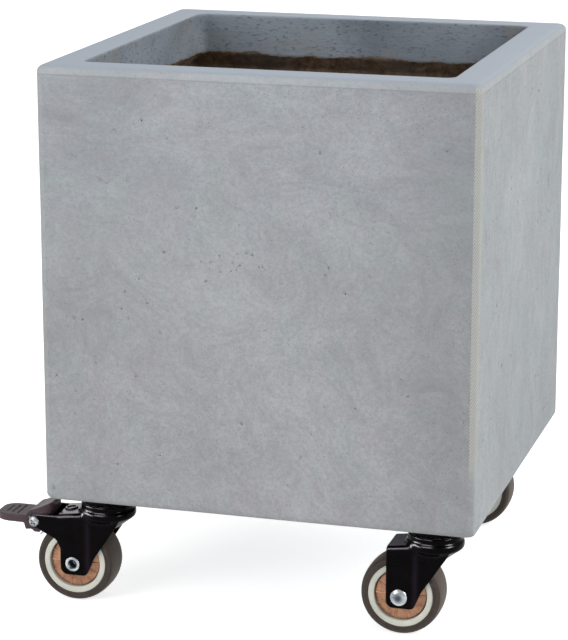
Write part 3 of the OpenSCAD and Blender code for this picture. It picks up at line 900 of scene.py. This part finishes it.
def skin(node, pitch):
    """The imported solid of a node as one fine, even skin."""
    solid = bpy.data.objects.new("solid", cad_nodes[node].data.copy())
    bpy.context.scene.collection.objects.link(solid)
    solid.modifiers.new("weld", "WELD").merge_threshold = 0.01 * MM
    remesh = solid.modifiers.new("remesh", "REMESH")
    remesh.mode, remesh.voxel_size = "VOXEL", pitch
    made = bpy.data.meshes.new_from_object(
        solid.evaluated_get(bpy.context.evaluated_depsgraph_get())
    )
    bpy.data.objects.remove(solid)
    made.materials.clear()
    return made


def points_of(mesh, what="co"):
    """The places, or the normals, of a mesh's points, one row for each."""
    rows = np.empty(len(mesh.vertices) * 3)
    mesh.vertices.foreach_get(what, rows)
    return rows.reshape(-1, 3)


def put_points(mesh, places):
    mesh.vertices.foreach_set("co", places.ravel())
    mesh.update()


def relaxed(mesh, soft_passes, fill_passes=0, may_fill=None, softness=None):
    """Rounds every edge a little, then fills inside corners to a larger radius where may_fill is true.

    softness, from 0 to 1 for each point, limits the rounding to a part of the mesh.
    """
    places = points_of(mesh)
    count = len(places)
    ends = np.empty(len(mesh.edges) * 2, dtype=np.int64)
    mesh.edges.foreach_get("vertices", ends)
    a, b = ends[0::2], ends[1::2]
    neighbours = np.bincount(ends, minlength=count)[:, None]
    for done in range(soft_passes + fill_passes):
        sums = [
            np.bincount(a, along[b], count) + np.bincount(b, along[a], count) for along in places.T
        ]
        pull = np.stack(sums, 1) / neighbours - places
        if done >= soft_passes:
            if (done - soft_passes) % NORMALS_EVERY == 0:
                put_points(mesh, places)
                normals = points_of(mesh, "normal")
            hollow = (pull * normals).sum(1) > 0
            pull *= (hollow & may_fill)[:, None]
        elif softness is not None:
            pull *= softness[:, None]
        places += pull * 0.5
    put_points(mesh, places)
    mesh.shade_smooth()
    return mesh


def ramp(values, low, high):
    """0 at low and 1 at high, smooth, for an array."""
    share = np.clip((values - low) / (high - low), 0, 1)
    return share * share * (3 - 2 * share)


def pressed_fork(corner):
    """A fork's skin with its creases and soft hollows, worked on relative to the swivel axis."""
    mesh = skin("fork_" + corner, FORK_PITCH)
    axis = np.array(swivel_axis(corner))
    local = points_of(mesh) - axis
    legs = (np.abs(local[:, 1]) > LEG_OUTSIDE - 1 * MM) & (local[:, 2] < FILL_BELOW)
    relaxed(mesh, EDGE_PASSES, FILL_PASSES, legs)
    local = points_of(mesh) - axis
    outward = np.sign(local[:, 1]) * points_of(mesh, "normal")[:, 1] > OUTWARD
    around = ((local[:, 0] - SADDLE_X) / SADDLE_W) ** 2 + ((local[:, 2] - SADDLE_Z) / SADDLE_H) ** 2
    relaxed(mesh, SADDLE_PASSES, softness=np.exp(-around) * outward)
    local = points_of(mesh) - axis
    ahead, below = local[:, 0] - CREASE_X, -local[:, 2]
    step = ramp(ahead, 0, CREASE_W) * ramp(below, CREASE_TOP, CREASE_FULL)
    step *= outward & (np.abs(local[:, 1]) > LEG_OUTSIDE - 0.8 * MM)
    # a painted highlight for the enamel: a soft band just ahead of the crease, on the legs' outer sides
    crease_highlight = np.exp(-(((ahead - CREASE_HIGHLIGHT_AT) / CREASE_HIGHLIGHT_W) ** 2)) * ramp(below, CREASE_TOP, CREASE_HIGHLIGHT_FULL)
    mesh.attributes.new("crease_highlight", "FLOAT", "POINT").data.foreach_set("value", crease_highlight * outward)
    local[:, 1] -= np.sign(local[:, 1]) * step * CREASE_STEP
    put_points(mesh, local + axis)
    return relaxed(mesh, LAST_PASSES)


# a braked fork and a plain one, each made once and shown on two casters
for made_at, also_at in (("fl", "rr"), ("fr", "rl")):
    pattern = pressed_fork(made_at)
    for corner in (made_at, also_at):
        fork = show_copy(
            "pressed_fork_" + corner,
            pattern,
            swivel_axis(corner) - swivel_axis(made_at),
            "caster_" + corner,
            "black_paint",
            "fork_" + corner,
            [black_paint],
        )
        enamelled.objects.link(fork)

# ---------------------------------------------------------------- wheels
# A tyre of grey rubber, with a fine groove round each side, is moulded on a pale plastic centre. A
# copper-brown cover with radial ribs closes each side, and white bushes run on a steel spacer.

TRAIL = 19 * MM
AXLE_Z = 25.5 * MM
RIBS = 14
RIB_FROM, RIB_TO = 8.6 * MM, 15.6 * MM
RIB_W, RIB_H = 0.95 * MM, 0.72 * MM
RIB_LEVEL_IN, RIB_LEVEL_OUT = 9.25 * MM, 8.3 * MM


def axle_middle(corner):
    """The middle of a caster's wheel."""
    axis = swivel_axis(corner)
    return Vector((axis.x - TRAIL, axis.y, AXLE_Z))


def rubber():
    """Grey rubber: warm and matt, patchy in tone, and painted paler on the tread as painted light."""
    finish = Finish("tyre_rubber")
    tread = 1.0 - finish.parts(finish.facing).other("Y").math("ABSOLUTE").between(0.35, 0.6)
    grain = finish.noise(0.9 * MM, 3.0, 0.6)
    mottle = finish.noise(7 * MM, 4.0, 0.65, 0.3)
    colour = finish.mix(mottle.between(0.35, 0.70), "#38302c", "#433a34")
    # painted light: the tread is painted paler than the sides
    colour = finish.mix(tread * 0.75, colour, "#544a42")
    colour = finish.mix(grain.between(0.5, 0.75) * 0.3, colour, "#352f2b")
    return finish.surface(
        Base_Color=colour,
        Roughness=0.50 + mottle * 0.2,
        Specular_IOR_Level=0.25,
        Normal=finish.bump(grain, 0.05 * MM, 0.5),
    )


def pale_mould():
    """Pale grey-white plastic with faint flow marks."""
    finish = Finish("pale_plastic")
    flow = finish.noise(10 * MM, 3.0, 0.5, 0.8)
    speck = finish.noise(1.3 * MM, 2.0)
    colour = finish.mix(flow.between(0.35, 0.70), "#c9cabf", "#d5d4c8")
    colour = finish.mix(speck.between(0.66, 0.74) * 0.3, colour, "#adaba0")
    relief = finish.bump(speck, 0.02 * MM, 0.4)
    return finish.surface(Base_Color=colour, Roughness=0.32 + flow * 0.14, Normal=relief)


def copper_mould():
    """Copper-brown plastic with metal flake in it: a soft shine, uneven in tone."""
    finish = Finish("copper_plastic")
    cloud = finish.noise(6 * MM, 4.0, 0.6, 0.5)
    flake = finish.noise(0.35 * MM, 1.0)
    colour = finish.mix(cloud.between(0.32, 0.68), "#875c43", "#ac7d5f")
    colour = finish.mix(flake.between(0.62, 0.72) * 0.45, colour, "#d8ad8c")
    return finish.surface(
        Base_Color=colour,
        Metallic=0.4,
        Roughness=0.24 + cloud * 0.12,
        Normal=finish.bump(flake, 0.02 * MM, 0.3),
    )


def cover_ribs(finish):
    """Radial ribs with rounded tops, standing on a turned cover round the axis Y."""
    tree = Maker("cover_ribs")
    disc = tree.geometry()
    count = tree.size("number of ribs", RIBS)
    inner = tree.size("ribs start at radius", RIB_FROM)
    outer = tree.size("ribs end at radius", RIB_TO)
    width = tree.size("rib width", RIB_W)
    height = tree.size("rib height", RIB_H)
    level_in = tree.size("level of the inner end", RIB_LEVEL_IN)
    level_out = tree.size("level of the outer end", RIB_LEVEL_OUT)
    line_ends = {"Start": tree.xyz(inner, level_in, 0.0), "End": tree.xyz(outer, level_out, 0.0)}
    line = tree.node("GeometryNodeCurvePrimitiveLine", None, line_ends)
    bar = tree.node("GeometryNodeCurvePrimitiveCircle", None, {"Resolution": 10, "Radius": 1.0})
    rib = tree.swept(line, tree.transformed(bar, Scale=tree.xyz(width * 0.5, height, 1.0)))
    points = tree.node(
        "GeometryNodeMeshCircle", {"fill_type": "NONE"}, {"Vertices": count, "Radius": 0.0001 * MM}
    )
    part_turn = tree.node("GeometryNodeInputIndex") * (2 * math.pi)
    turn = tree.xyz(0.0, part_turn.math("DIVIDE", count), 0.0)
    tree.finish(tree.joined(disc, tree.placed(points, rib, Rotation=turn)), finish)
    return tree


def both_ways(half):
    """An outline whose second half mirrors its first."""
    return half + [(r, -y, corner) for r, y, corner in reversed(half)]


TYRE_HALF = [
    (19.05, -2.1, 0),
    (20.25, -2.9, 0),
    (20.25, -10.75, 0.4),
    (21.3, -10.75, 0.2),
    (21.5, -10.5, 0.15),
    (21.9, -10.5, 0.15),
    (22.1, -10.72, 0.2),
    (23.3, -10.6, 1.0),
    (24.6, -9.3, 0.9),
    (25.15, -7.0, 3),
    (25.42, -4.2, 4),
    (25.5, -1.2, 4),
]
CORE_HALF = [
    (19.0, -2.2, 0),
    (20.2, -3, 0),
    (20.2, -10.25, 0.4),
    (16.5, -10.25, 0.5),
    (16.5, -2.2, 1),
    (8, -2.2, 1),
    (8, -11, 0.3),
    (6, -11, 0),
    (6, -5, 0),
    (4.6, -5, 0),
]
COVER_OUTLINE = [(8.1, 8.2, 0), (15.9, 7.2, 0), (15.9, 8.2, 0.5), (8.1, 9.4, 0.2)]
tyre_pattern = turned("tyre", both_ways(TYRE_HALF), Vector(), "Y", 128)
core_pattern = turned("wheel_core", both_ways(CORE_HALF), Vector(), "Y", 128)
cover_pattern = cover_ribs(copper_mould()).bake(
    "hub_cover", turned("hub_disc", COVER_OUTLINE, Vector(), "Y", 112)
)
far_cover = cover_pattern.copy()
far_cover.transform(Matrix.Rotation(math.pi, 4, "Z"))
both_covers = bmesh.new()
both_covers.from_mesh(cover_pattern)
both_covers.from_mesh(far_cover)
both_covers.to_mesh(cover_pattern)
both_covers.free()
WHEEL_PIECES = (
    ("moulded_tyre_", tyre_pattern, "tyre_rubber", "tyre_", [rubber()]),
    ("moulded_core_", core_pattern, "pale_plastic", "wheel_core_", [pale_mould()]),
    ("ribbed_covers_", cover_pattern, "copper_plastic", "hub_covers_", []),
)
for corner in CORNERS:
    for name, pattern, slot, node, materials in WHEEL_PIECES:
        place, body = axle_middle(corner), "wheel_" + corner
        show_copy(name + corner, pattern, place, body, slot, node + corner, materials)

# ---------------------------------------------------------------- axles
# The axle is a hollow rivet of zinc-plated steel. It has a smooth domed head on one side of the fork,
# and on the other its end is rolled outwards into a flared ring.

# the plating is painted darker in the middle of each end, a painted reflection on the dome and painted
# shade in the flared end's hollow, and bright outwards from the radius below
PAINTED_DARK_R, PAINTED_DARK_MOST = 4.2 * MM, 1.5
# casters whose axle has its flared end towards the front
TURNED_ROUND = ("fl", "rr")

AXLE_OUTLINE = [
    (0, -16.4, 0),
    (1.1, -16.38, 0),
    (2.0, -16.3, 0),
    (3.4, -16.1, 2),
    (5.3, -14.9, 0.8),
    (5.3, -13.7, 0.2),
    (3, -13.7, 0),
    (3, 13.7, 0),
    (4.3, 13.7, 0.3),
    (4.9, 14.4, 0.5),
    (4.2, 15.0, 0.4),
    (3.1, 15.0, 0.5),
    (2.1, 13.4, 0.4),
    (1.9, 9, 0),
    (0, 8.5, 0),
]
axle_pattern = turned("axle", AXLE_OUTLINE, Vector(), "Y", 64, 6)
from_middle = [math.hypot(v.co.x, v.co.z) for v in axle_pattern.vertices]
axle_pattern.attributes.new("dark_tone", "FLOAT", "POINT").data.foreach_set(
    "value", [max(0, min(1, PAINTED_DARK_MOST - PAINTED_DARK_MOST * r / PAINTED_DARK_R)) for r in from_middle]
)


def bush_plastic():
    """Off-white nylon, slightly waxy."""
    finish = Finish("nylon")
    wax = finish.noise(4 * MM, 3.0)
    colour = finish.mix(wax.between(0.35, 0.70), "#dedacf", "#ece9e0")
    return finish.surface(Base_Color=colour, Roughness=0.35 + wax * 0.15)


nylon = bush_plastic()
for corner in CORNERS:
    axle = axle_pattern.copy()
    if corner in TURNED_ROUND:
        axle.transform(Matrix.Rotation(math.pi, 4, "Z"))
    show_copy(
        "riveted_axle_" + corner,
        axle,
        axle_middle(corner),
        "caster_" + corner,
        "zinc_plate",
        "axle_" + corner,
        [zinc_plate],
    )
    dress(zinc_plate, "axle_spacer_" + corner)
    dress(nylon, "axle_bushes_" + corner)

# ---------------------------------------------------------------- brakes
# Two casters have a brake: a moulded pedal on a cross-head screw, whose barrel presses a leaf of spring
# steel towards the tread. The leaf is held under the bridge by a rivet with a rolled, hollow head.

PEDAL_PITCH = 0.36 * MM
PEDAL_PASSES = 4
BRAKED = ("fl", "rr")


def pedal_mould():
    """Dark brown plastic with a fine spark-eroded grain and a satin sheen, scuffed in streaks."""
    finish = Finish("pedal_plastic")
    cloud = finish.noise(12 * MM, 3.0, 0.55)
    grain = finish.noise(0.6 * MM, 2.0, 0.6)
    scuff = finish.noise(5 * MM, 5.0, 0.7, 0.0, finish.stretched((0.4, 2, 1)))
    colour = finish.mix(cloud.between(0.35, 0.70), "#3b2c32", "#4a3a3f")
    colour = finish.mix(scuff.between(0.62, 0.75) * 0.3, colour, "#6c5d62")
    return finish.surface(
        Base_Color=colour,
        Roughness=0.36 + scuff * 0.16,
        Specular_IOR_Level=0.25,
        Normal=finish.bump(grain, 0.05 * MM, 0.45),
    )


pedal_plastic = pedal_mould()
pedal_pattern = relaxed(skin("brake_pedal_fl", PEDAL_PITCH), PEDAL_PASSES)
for corner in BRAKED:
    show_copy(
        "moulded_pedal_" + corner,
        pedal_pattern,
        swivel_axis(corner) - swivel_axis("fl"),
        "pedal_" + corner,
        "pedal_plastic",
        "brake_pedal_" + corner,
        [pedal_plastic],
    )
    dress(screw_steel, "pedal_screw_" + corner)
    dress(zinc_plate, "pedal_nut_" + corner)
    dress(spring_steel, "brake_leaf_" + corner)
    dress(black_paint, "leaf_rivet_" + corner)
    enamelled.objects.link(cad_nodes["leaf_rivet_" + corner])
